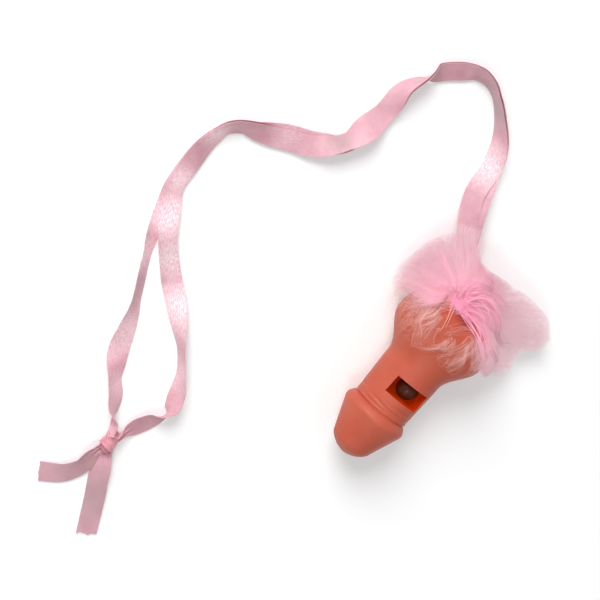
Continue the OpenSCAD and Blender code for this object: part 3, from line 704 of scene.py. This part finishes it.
def tuft_point(x, y, h):
    """Points at offsets x and y from the root, h through the tuft's thickness."""
    deg, r = np.degrees(np.arctan2(y, x)), np.hypot(x, y)
    f = r / fan_reach(deg)
    thick = PLUME_EDGE + PLUME_T * np.clip(1 - f * f, 0.12, 1)
    tip_z = np.interp(deg % 360, TIP_DEG, TIP_Z, period=360)
    under = drape(ROOT_X + x, ROOT_Y + y, np.clip(f, 0, 1), tip_z)
    over = BUNDLE_RISE * np.exp(-((r / BUNDLE_R) ** 2))
    return np.stack([ROOT_X + x, ROOT_Y + y, under + over + h * thick], -1)


def gathered(deg, r):
    """Offsets from the root at an angle and a distance, drawn over to the gather near the root."""
    pull = np.exp(-((r / GATHER_SPAN) ** 2))
    turn = np.radians(deg)
    return r * np.cos(turn) + GATHER_X * pull, r * np.sin(turn) + GATHER_Y * pull


def spread(shape, low, high):
    return rng.uniform(low, high, shape)


def groups(count, size):
    """Shapes of a draw for each group and for each strand, and what hands a group's draw to its strands."""
    return (count, 1), (count * size, 1), lambda values: np.repeat(values, size, 0)


def curved(x, y, turn, reach):
    """Offsets along strands from x and y, at the turn and the reach of each step."""
    return x + reach * np.cos(turn), y + reach * np.sin(turn)


def barbs(a0, a1, count, start, lean):
    """Long strands in tight clumps from the gather to somewhere along the plume, and their tones."""
    own, each, shared = groups(max(1, count // CLUMP), CLUMP)
    t = np.linspace(0, 1, BARB_STEPS)[None]
    middle = shared(spread(own, a0, a1) + spread(own, -EDGE_DEG, EDGE_DEG))
    sway = shared(rng.normal(lean, BARB_SWAY[0], own)) + rng.normal(0, BARB_SWAY[1], each)
    phase = shared(spread(own, 0.5, 1.3)) * t + shared(spread(own, 0, 1))
    wave = shared(rng.normal(0, BARB_WAVE, own)) * np.sin(2 * math.pi * phase)
    deg = middle + rng.normal(0, BARB_STRAY, each) * (1 - 0.3 * t) + sway * t**1.5 + wave * t
    f0 = start + BARB_START[0] * shared(rng.beta(1, 2, own)) + spread(each, 0, BARB_START[1])
    f1 = f0 + rng.beta(4, 1.3, each) * (1.0 - f0)
    h = shared(spread(own, 0, 1)) + rng.normal(0, BARB_HEIGHT[1], each)
    h = h + shared(rng.normal(0, BARB_HEIGHT[0], own)) * t**2
    tone = shared(rng.normal(1, BARB_TONE[0], own)) + rng.normal(0, BARB_TONE[1], each)
    r = mix(f0, f1, t) * fan_reach(deg)
    return tuft_point(*gathered(deg, r), np.clip(h, 0.02, 1.5)), tone


def down(a0, a1, density, start):
    """Short fine strands all over the plume, which make its haze, and their tones."""
    count = int(density * math.radians(a1 - a0) / 2 * np.mean(fan_reach(np.linspace(a0, a1, 20))) ** 2)
    shape = (count, 1)
    t = np.linspace(0, 1, DOWN_STEPS)[None]
    deg = spread(shape, a0, a1) + spread(shape, -EDGE_DEG, EDGE_DEG)
    r = fan_reach(deg) * np.sqrt(spread(shape, start**2, 0.98))
    root = np.radians(deg)
    turn = root + rng.normal(0, DOWN_TURN, shape)
    turn = turn + rng.normal(0, DOWN_BEND, shape) * t
    x, y = curved(r * np.cos(root), r * np.sin(root), turn, spread(shape, *DOWN_LEN) * t)
    away, angle = np.hypot(x, y), np.degrees(np.arctan2(y, x))
    over = np.max(away / fan_reach(angle), 1, keepdims=True)
    h = np.clip(spread(shape, 0, 1) + rng.normal(0, 0.4, shape) * t, 0.02, 1.6)
    return tuft_point(*gathered(angle, away / np.maximum(over, 1)), h), rng.normal(*DOWN_TONE, shape)


def gather_cover(count):
    """Short strands all round the gather and over the bound quills, which hide them, and their tones."""
    shape = (count, 1)
    t = np.linspace(0, 1, DOWN_STEPS)[None]
    turn = spread(shape, 0, 2 * math.pi)
    along = spread(shape, 0, 1)
    off = COVER_R * np.sqrt(spread(shape, 0, 1))
    x = GATHER_X * along + off * np.cos(turn)
    y = GATHER_Y * along + off * np.sin(turn)
    way = turn + rng.normal(0, COVER_TURN, shape)
    way = way + rng.normal(0, COVER_BEND, shape) * t
    reach = spread(shape, *COVER_LEN) * t
    h = np.clip(spread(shape, 0.3, 1.0) * np.sin(math.pi * (0.35 + 0.6 * t)), 0.05, 1.5)
    return tuft_point(*curved(x, y, way, reach), h), rng.normal(*COVER_TONE, shape)


# Locks that stand out of the haze: bundles, spread in mm, height over the drape, then angle and distance
# from the root at points along each
SWEEPS = [
    (36, 2.4, 0.9, ((239, 4), (253, 7.5), (273, 12), (287, 16.5), (297, 19.5), (304, 20.5))),
    (38, 2.6, 0.8, ((254, 4.4), (275, 7.5), (288, 12.5), (299, 17), (308, 19), (316, 20.5))),
    (36, 2.6, 0.6, ((254, 4.4), (283, 7), (300, 13), (311, 17), (321, 20), (330, 21))),
    (10, 1.6, 0.4, ((280, 5), (304, 10), (321, 13), (337, 16.5), (353, 22.5))),
    (12, 1.6, 0.4, ((280, 6), (303, 13), (320, 17.5), (334, 21.5), (343, 24.5))),
    (8, 1.2, 0.3, ((304, 8.8), (313, 12), (328, 14.5), (341, 16.5), (347, 18.5))),
    (11, 1.3, 0.3, ((69, 10), (42, 7.2), (7, 9), (353, 12))),
    (13, 1.3, 0.4, ((66, 12), (45, 12.3), (24, 14.5), (2, 17.5))),
    (18, 1.7, 0.4, ((61, 13), (45, 15), (30, 18), (22, 21.5))),
    (15, 1.5, 0.3, ((62, 14), (45, 15.5), (37, 18.5), (34, 20.5))),
    (24, 1.7, 0.5, ((69, 14.5), (62, 19), (55, 22), (51, 23.5))),
    (30, 2.2, 0.7, ((239, 4), (255, 9), (275, 15), (291, 20.5))),
]
CURLS = [
    (8, 0.9, 2.2, ((231, 2.7), (207, 6.4), (180, 9.4), (158, 10.5), (134, 11))),
    (9, 1.3, 2.1, ((176, 2.2), (150, 6.3), (134, 10.4), (112, 15), (96, 19), (87, 25.5))),
    (9, 1.3, 1.9, ((170, 1.2), (119, 5.2), (97, 10.7), (83, 14.4), (77, 17.5))),
    (8, 1.2, 1.7, ((117, 2.8), (87, 9), (77, 12.6), (71, 15.7))),
    (9, 1.3, 2.0, ((136, 3.8), (123, 9.4), (104, 15.5), (92, 19.5), (86, 27), (89, 31.5))),
    (8, 1.2, 2.1, ((190, 4), (150, 8.7), (128, 12), (110, 16))),
    (9, 1.2, 2.3, ((205, 5), (168, 9.5), (146, 12.5), (129, 15.5), (113, 19))),
    (10, 1.5, 1.5, ((120, 1.5), (93, 6), (84, 12), (76, 18), (74, 25), (75, 32))),
    (10, 1.5, 1.3, ((105, 1.5), (83, 6), (74, 12), (68, 17), (65, 24), (66, 30))),
]
WISPS = [
    (90, 1.8, 1.2, ((215, 7), (212, 13), (211, 19), (210, 27))),
    (80, 1.8, 1.2, ((206, 7), (203, 13), (203, 19), (203, 26))),
    (70, 1.7, 1.0, ((222, 8), (221, 14), (222, 19), (224, 22.5))),
    (50, 1.5, 1.0, ((198, 8), (196, 14), (196, 20), (197, 24))),
    (70, 1.6, 1.1, ((219, 8), (217, 14), (216, 20), (214.5, 27))),
]
QUILLS = [((255, 2.5), (327, 4.2), (350, 10.7)), ((230, 1.2), (335, 3.3), (352, 8.4))]


def guide(points, steps):
    """Offsets x, y from the root along a lock's points."""
    deg, r = np.radians([p[0] for p in points]), np.array([p[1] for p in points], float)
    x, y = r * np.cos(deg), r * np.sin(deg)
    t = np.concatenate([[0], np.cumsum(np.hypot(np.diff(x), np.diff(y)))])
    fine = np.linspace(0, t[-1], steps)
    return np.stack([hermite(t, x, fine, False), hermite(t, y, fine, False)], 1)


def lock(size, loose, bundles, wide, high, points):
    """Bundles of size strands along a guide, loose mm apart and more so at the tip, and their tones."""
    line = guide(points, LOCK_STEPS)
    heading = unit_rows(np.gradient(line, axis=0))
    across = np.stack([-heading[:, 1], heading[:, 0]], 1)
    own, each, shared = groups(bundles, size)
    t = np.linspace(0, 1, LOCK_STEPS)[None]
    phase = shared(spread(own, 0.6, 1.6)) * t + shared(spread(own, 0, 1))
    off = (shared(rng.normal(0, wide, own)) * (1 - 0.3 * smooth(t))
           + shared(rng.normal(0, 0.5 * wide, own)) * t**2
           + 0.25 * wide * np.sin(2 * math.pi * phase) + rng.normal(0, loose, each) * (0.6 + t**2))
    place = shared(spread(own, 0.75, 1)) * spread(each, 0.9, 1) * t * (LOCK_STEPS - 1)
    step = np.arange(LOCK_STEPS)
    x, y = (np.interp(place, step, line[:, k]) + off * np.interp(place, step, across[:, k]) for k in (0, 1))
    arch = high * shared(spread(own, 0.5, 1.1)) * (0.45 + 0.55 * np.sin(math.pi * (0.1 + 0.8 * t)))
    tone = shared(rng.normal(*LOCK_TONE, own)) + rng.normal(0, LOCK_STRAND_TONE, each)
    return tuft_point(x, y, np.clip(arch + rng.normal(0, 0.08, each), 0.05, 2.4)), tone


def feather_piece(name, paths, tone, thin, thick, node=None, tip=0.25):
    obj = strands(name, paths, spread(len(paths), thin, thick), np.clip(tone, *STRAND_TONES).ravel(), tip)
    return hand_over(obj, node)


def locks(name, rows, size, loose, thin, thick):
    made = [lock(size, loose, *row) for row in rows]
    return feather_piece(name, *(np.concatenate(part) for part in zip(*made)), thin, thick, tip=0.5)


def plume(name, a0, a1, _, per_deg, start, lean, density, radius):
    long = barbs(a0, a1, int(per_deg * (a1 - a0)), start, lean)
    main = feather_piece("feather_" + name, *long, 0.7 * radius, 1.3 * radius, "plume_" + name)
    return [main, feather_piece("down_" + name, *down(a0, a1, density, start), *DOWN_R)]


feathers = {row[0]: plume(*row) for row in PLUMES}
sweeps = locks("feather_sweeps", SWEEPS, size=2, loose=0.16, thin=0.011, thick=0.02)
curls = locks("feather_curls", CURLS, size=5, loose=0.1, thin=0.026, thick=0.042)
cover = feather_piece("feather_gather", *gather_cover(COVER_COUNT), thin=0.024, thick=0.038)
wisps = locks("feather_wisps", WISPS, size=2, loose=0.45, thin=0.016, thick=0.03)
quill_lines = [guide(points, LOCK_STEPS) for points in QUILLS]
quill_paths = np.stack([tuft_point(q[:, 0], q[:, 1], 0.25) for q in quill_lines])
quills = feather_piece("quill_ends", quill_paths, np.ones(len(quill_paths)), thin=0.24, thick=0.28)


# Materials
def linear(c):
    return c / 12.92 if c <= 0.04045 else ((c + 0.055) / 1.055) ** 2.4


def screen(r, g, b):
    """A colour written as on a screen, 0 to 255, in the linear values that shaders take."""
    return (linear(r / 255), linear(g / 255), linear(b / 255), 1.0)


def grey(v):
    return (v, v, v, 1.0)


class Nodes:
    """The node tree of a material or a world, with short calls to add and join nodes."""

    def __init__(self, owner, shader="Principled BSDF"):
        owner.use_nodes = True
        self.owner = owner
        self.tree = owner.node_tree
        self.shader = self.tree.nodes[shader]

    @functools.cached_property
    def place(self):
        return self.add("ShaderNodeTexCoord").outputs["Object"]

    def give(self, socket, value):
        """Sets an input to a value, or joins another node's output to it."""
        if isinstance(value, bpy.types.NodeSocket):
            self.tree.links.new(value, socket)
        else:
            socket.default_value = value

    def add(self, kind, inputs=None, **options):
        node = self.tree.nodes.new(kind)
        for key, value in options.items():
            setattr(node, key, value)
        for key, value in (inputs or {}).items():
            self.give(node.inputs[key], value)
        return node

    def set(self, **inputs):
        """Gives the shader's own inputs their values or joins."""
        for key, value in inputs.items():
            self.give(self.shader.inputs[key.replace("_", " ")], value)

    def noise(self, scale, detail=3.0, rough=0.5, stretch=None, source=None):
        source = source or self.place
        if stretch:
            source = self.add("ShaderNodeMapping", {"Vector": source, "Scale": stretch}).outputs["Vector"]
        inputs = {"Vector": source, "Scale": scale, "Detail": detail, "Roughness": rough}
        return self.add("ShaderNodeTexNoise", inputs).outputs["Fac"]

    def ramp(self, factor, stops):
        """A colour by stops, each of them a grey or a screen colour."""
        node = self.add("ShaderNodeValToRGB", {"Fac": factor})
        while len(node.color_ramp.elements) < len(stops):
            node.color_ramp.elements.new(0.5)
        for element, (at, colour) in zip(node.color_ramp.elements, stops):
            element.position = at
            element.color = grey(colour) if isinstance(colour, float) else screen(*colour)
        return node.outputs["Color"]

    def bump(self, height, strength, distance, after=None):
        inputs = {"Height": height, "Strength": strength, "Distance": distance}
        if after:
            inputs["Normal"] = after
        normal = self.add("ShaderNodeBump", inputs).outputs["Normal"]
        self.set(Normal=normal)
        return normal

    def maths(self, operation, *values):
        return self.add("ShaderNodeMath", dict(enumerate(values)), operation=operation).outputs["Value"]

    def blend(self, share, colour, other, kind="MIX"):
        inputs = {"Factor": share, "A": colour, "B": other}
        return self.add("ShaderNodeMix", inputs, data_type="RGBA", blend_type=kind).outputs["Result"]

    def times(self, colour, other):
        return self.blend(1.0, colour, other, "MULTIPLY")

    def remap(self, factor, low, high, start=0.0, end=1.0, kind="LINEAR"):
        """Takes a factor from start to end over to low to high."""
        inputs = {"Value": factor, "From Min": start, "From Max": end, "To Min": low, "To Max": high}
        return self.add("ShaderNodeMapRange", inputs, interpolation_type=kind).outputs["Result"]

    def away(self, x, y, z):
        """Distance in metres from a place in mm."""
        inputs = {0: self.place, 1: (x * MM, y * MM, z * MM)}
        return self.add("ShaderNodeVectorMath", inputs, operation="DISTANCE").outputs["Value"]


def material(name):
    return Nodes(bpy.data.materials.new(name))


def coral_plastic():
    m = material("coral_plastic")
    dye = m.ramp(m.noise(90, 3), [(0.3, (192, 87, 65)), (0.7, (200, 97, 74))])
    m.bump(m.noise(2600, 3), 0.12, 0.00008)
    m.set(Base_Color=dye, Roughness=m.remap(m.noise(700, 2), 0.4, 0.52), Specular_IOR_Level=0.35,
          Subsurface_Weight=0.18, Subsurface_Radius=(0.004, 0.0014, 0.0008), Subsurface_Scale=0.6)
    return m.owner


def inner_plastic():
    """A deeper orange red copy of the coral plastic for the insides: painted shade of the bore and the
    window, with a painted glow (emission) that stands in for light through the thin shell.
    """
    m = material("inner_plastic")
    dye = m.ramp(m.noise(140, 2), [(0.3, (176, 42, 4)), (0.7, (184, 58, 8))])
    m.bump(m.noise(1800, 2), 0.1, 0.00008)
    m.set(Base_Color=dye, Emission_Color=dye, Emission_Strength=0.28,
          Roughness=m.remap(m.noise(900, 2), 0.3, 0.42), Specular_IOR_Level=0.25)
    return m.owner


def cork():
    m = material("pea_cork")
    dye = m.ramp(m.noise(900, 5, 0.6), [(0.3, (70, 34, 22)), (0.65, (94, 49, 33))])
    m.bump(m.noise(1900, 4, 0.6), 0.25, 0.00012)
    m.set(Base_Color=dye, Roughness=m.remap(m.noise(1500, 3), 0.34, 0.5), Specular_IOR_Level=0.2,
          Coat_Weight=0.1, Coat_Roughness=0.08)
    return m.owner


def hot_glue():
    m = material("hot_glue")
    dye = m.ramp(m.noise(500, 2), [(0.3, (228, 205, 190)), (0.7, (240, 224, 212))])
    m.bump(m.noise(600, 2), 0.3, 0.0002)
    m.set(Base_Color=dye, Roughness=m.remap(m.noise(800, 2), 0.2, 0.35), Subsurface_Weight=0.3,
          Subsurface_Radius=(0.003, 0.002, 0.0015))
    return m.owner


def dyed_thread():
    m = material("dyed_thread")
    dye = m.ramp(m.noise(4000, 2), [(0.3, (214, 110, 150)), (0.7, (236, 150, 184))])
    m.bump(m.noise(6000, 2), 0.4, 0.0001)
    m.set(Base_Color=dye, Roughness=0.7, Sheen_Weight=0.3)
    return m.owner


# Where the feathers' colour turns from the root's to the tips', paler in the dye and darker as painted shade
# in the core down, how far noise shifts that, and where y turns greyer, in m
DYE_FROM, DYE_TO, DYE_SHIFT = 0.006, 0.030, 0.010
GREY_FROM, GREY_TO = 0.006, 0.018


def feather_down(name, root, middle, tips, right, glow, toned=True):
    """Dyed down: deep pink by the root, paler to the tips and greyer on the right, with a painted glow
    (emission) in its own colour that stands in for light scattered through the down and lifts its
    self-shadow.
    """
    m = material(name)
    shifted = m.maths("MULTIPLY_ADD", m.noise(420, 3), DYE_SHIFT, m.away(ROOT_X, ROOT_Y, PLUME_ROOT_Z))
    dye = m.ramp(m.remap(shifted, 0.0, 1.0, DYE_FROM, DYE_TO),
                 [(0.0, root), (0.3, middle), (1.0, tips)])
    y = m.add("ShaderNodeSeparateXYZ", {0: m.place}).outputs["Y"]
    hue = m.blend(m.remap(y, 0.0, 1.0, GREY_FROM, GREY_TO), dye, screen(*right))
    colour = m.times(hue, m.ramp(m.noise(2600, 2), [(0.35, 0.88), (0.62, 1.0)]))
    if toned:
        colour = m.times(colour, m.add("ShaderNodeAttribute", attribute_name="tone").outputs["Fac"])
    # The glow is painted light: emission in the down's own colour.
    m.set(Base_Color=colour, Emission_Color=colour, Emission_Strength=glow, Roughness=0.8,
          Specular_IOR_Level=0.15, Sheen_Weight=0.3, Sheen_Roughness=0.5)
    return m.owner


# Places on the satin for painted highlights, where it lies at a slant toward the lamp, and for painted shade,
# where it is turned away: x, y, reach in mm, strength
PAINTED_GLINTS = [(-39, -23, 12, 0.9), (9, -104, 8, 0.8), (28, -102, 9, 0.8), (40, -98, 14, 1.0), (50, -88, 14, 0.9),
          (62, -75, 16, 0.9), (80, -59, 13, 0.4), (78, -84, 17, 0.6), (54, -98, 12, 0.8), (94, -74, 10, 0.4),
          (-5, -84, 9, 0.4)]
PAINTED_SHADE_PLACES = [(-55, -33, 10, 0.9), (-60, -41, 9, 0.5), (-13, -68, 7, 0.8), (127, -70, 15, 0.5), (131, -56, 17, 0.8)]
SATIN_H = 3


def nearest(m, places):
    """Strength of the nearest of the listed places at each point, fading out over its reach."""
    total = None
    for x, y, reach, strength in places:
        share = m.remap(m.away(x, y, SATIN_H), strength, 0.0, 0.0, reach * MM, "SMOOTHSTEP")
        total = m.maths("MAXIMUM", total, share) if total else share
    return total


def satin(name, deep, middle, light, with_painted_light):
    """Pink satin: a fine weave, a lengthwise gloss, an uneven dye, and, when asked for, painted highlights
    with a painted glow and painted shade at the listed places.
    """
    m = material(name)
    cloth = m.add("ShaderNodeUVMap", uv_map="cloth").outputs["UV"]
    thread = m.noise(1500, 4, 0.7, (0.5, 2.2, 1), cloth)
    tone = m.remap(m.maths("MULTIPLY_ADD", thread, 0.6, m.noise(160, 3)), -0.15, 0.85)
    dye = m.ramp(tone, [(0.2, deep), (0.5, middle), (0.85, light)])
    if with_painted_light:
        # Painted highlight: near the glint places the dye turns white in sparkles and the satin glows.
        slant = nearest(m, PAINTED_GLINTS)
        painted_sparkle = m.maths("MULTIPLY", slant, m.ramp(thread, [(0.42, 0.1), (0.6, 1.0)]))
        # Painted shade: near the shade places the dye turns a greyer mauve.
        dye = m.blend(nearest(m, PAINTED_SHADE_PLACES), dye, screen(184, 150, 155))
        dye = m.blend(painted_sparkle, dye, screen(255, 244, 247))
        m.set(Emission_Color=dye, Emission_Strength=m.maths("MULTIPLY", slant, 0.3))
    weave = m.add("ShaderNodeTexWave", {"Vector": cloth, "Scale": 900, "Distortion": 2.0},
                  wave_type="BANDS", bands_direction="X").outputs["Fac"]
    m.bump(thread, 0.5, 0.00025, after=m.bump(weave, 0.3, 0.00008))
    tangent = m.add("ShaderNodeTangent", direction_type="UV_MAP", uv_map="cloth").outputs["Tangent"]
    m.set(Base_Color=dye, Roughness=m.remap(thread, 0.26, 0.46), Tangent=tangent, Anisotropic=0.6,
          Anisotropic_Rotation=0.25, Specular_IOR_Level=0.7, Sheen_Weight=0.15, Sheen_Roughness=0.4)
    return m.owner


def paint(pieces, coat):
    for obj in pieces:
        obj.data.materials.clear()
        obj.data.materials.append(coat)


# The grey pink of the tuft's right side is the down's own look, set lighter to lift the shade that the tuft
# casts there: partly painted light.
PALE = (240, 208, 215)
# Core down: the root and middle colours are its dye; the darker tip and right colours are painted shade on
# the hanging curl tips.
CORE_DYE_AND_TIP_SHADE = ((255, 172, 202), (255, 190, 214), (238, 180, 195), (226, 178, 189))
inner_shade = inner_plastic()
paint(body, coral_plastic())
# The bore's and the window's own walls, and the inner parts, get the deeper orange red: painted shade.
for half in body:
    half.data.materials.append(inner_shade)
    half.data.polygons.foreach_set("material_index", inside_faces(half).astype(np.int32))
paint([NODE["windway_block"], NODE["chamber_tub"]], inner_shade)
paint([NODE["pea"]], cork())
paint([NODE["glue_bead"]], hot_glue())
paint([NODE["thread_winding"]], dyed_thread())
pink = feather_down("pink_down", (240, 142, 170), (245, 190, 205), (230, 194, 203), PALE, 0.26)
white = feather_down("white_down", (246, 192, 190), (248, 204, 199), (248, 206, 200), PALE, 0.2)
for name, pieces in feathers.items():
    paint(pieces, white if name in ("front", "front_left") else pink)
paint([sweeps], white)
# The wisps are paler than the pink down and glow more, which lifts the shade they cast on the ribbon: painted
# light.
paint([wisps], feather_down("wisp_down", (246, 182, 201), (246, 200, 212), (240, 206, 213), PALE, 0.28))
paint([curls, cover], feather_down("core_down", *CORE_DYE_AND_TIP_SHADE, 0.32))
paint([NODE["quill_bundle"]], feather_down("root_down", *CORE_DYE_AND_TIP_SHADE, 0.32, toned=False))
paint([quills], feather_down("quill_horn", (250, 190, 185), (252, 175, 160), (255, 200, 180), PALE, 0.05))
paint(ribbon, satin("satin_ribbon", (200, 142, 155), (218, 160, 173), (234, 180, 191), with_painted_light=True))
# The knot's satin is a deeper, darker pink than the legs' though it is the same ribbon: painted shade of its
# folds.
paint(knot_pieces, satin("satin_knot", (196, 108, 126), (220, 138, 153), (238, 168, 180), with_painted_light=False))

# Floor and light: how far the floor reaches, its glow near the whistle and far off, and the lamps' aim, in m
FLOOR_REACH = 4.0
GLOW_NEAR, GLOW_FAR = 0.165, 0.8
GLOW_FROM, GLOW_TO = 0.08, 1.2
LIT_AT = Vector((0.03, -0.04, 0.0))


def floor():
    """White sheet that passes into plain white away from the whistle."""
    corners = FLOOR_REACH / MM * np.array([(-1, -1, 0), (1, -1, 0), (1, 1, 0), (-1, 1, 0)])
    sheet = add_mesh("floor", corners, [(0, 1, 2, 3)])
    m = material("white_floor")
    ray = m.add("ShaderNodeLightPath").outputs
    seen = m.maths("MAXIMUM", ray["Is Camera Ray"], ray["Is Glossy Ray"])
    glow = m.maths("MULTIPLY", seen, m.remap(m.away(0, 0, 0), GLOW_NEAR, GLOW_FAR, GLOW_FROM, GLOW_TO))
    m.set(Base_Color=m.ramp(m.noise(3, 2), [(0.0, 0.9), (1.0, 0.92)]), Roughness=0.9,
          Specular_IOR_Level=0.1, Emission_Color=grey(1.0), Emission_Strength=glow)
    paint([sheet], m.owner)


def sky(strength):
    """Even light from all round, which itself is seen as plain white."""
    world = bpy.data.worlds.new("studio")
    bpy.context.scene.world = world
    m = Nodes(world, "Background")
    ray = m.add("ShaderNodeLightPath").outputs
    shown = m.maths("MAXIMUM", ray["Is Camera Ray"], ray["Is Transmission Ray"])
    m.set(Color=grey(1.0), Strength=m.remap(shown, strength, 1.0))


def lamp(name, direction, distance, size, power_w):
    data = bpy.data.lights.new(name, "AREA")
    data.shape = "DISK"
    data.size = size
    data.energy = power_w
    obj = link(name, data)
    aim = Vector(direction).normalized()
    obj.location = LIT_AT + aim * distance
    obj.rotation_euler = aim.to_track_quat("Z", "Y").to_euler()


floor()
sky(strength=0.34)
lamp("key", (-0.42, -0.6, 0.6), distance=1.5, size=0.8, power_w=18.4)
lamp("sheen", (0.4, -0.15, 0.9), distance=1.3, size=0.4, power_w=3)
bpy.context.scene.view_settings.view_transform = "Standard"
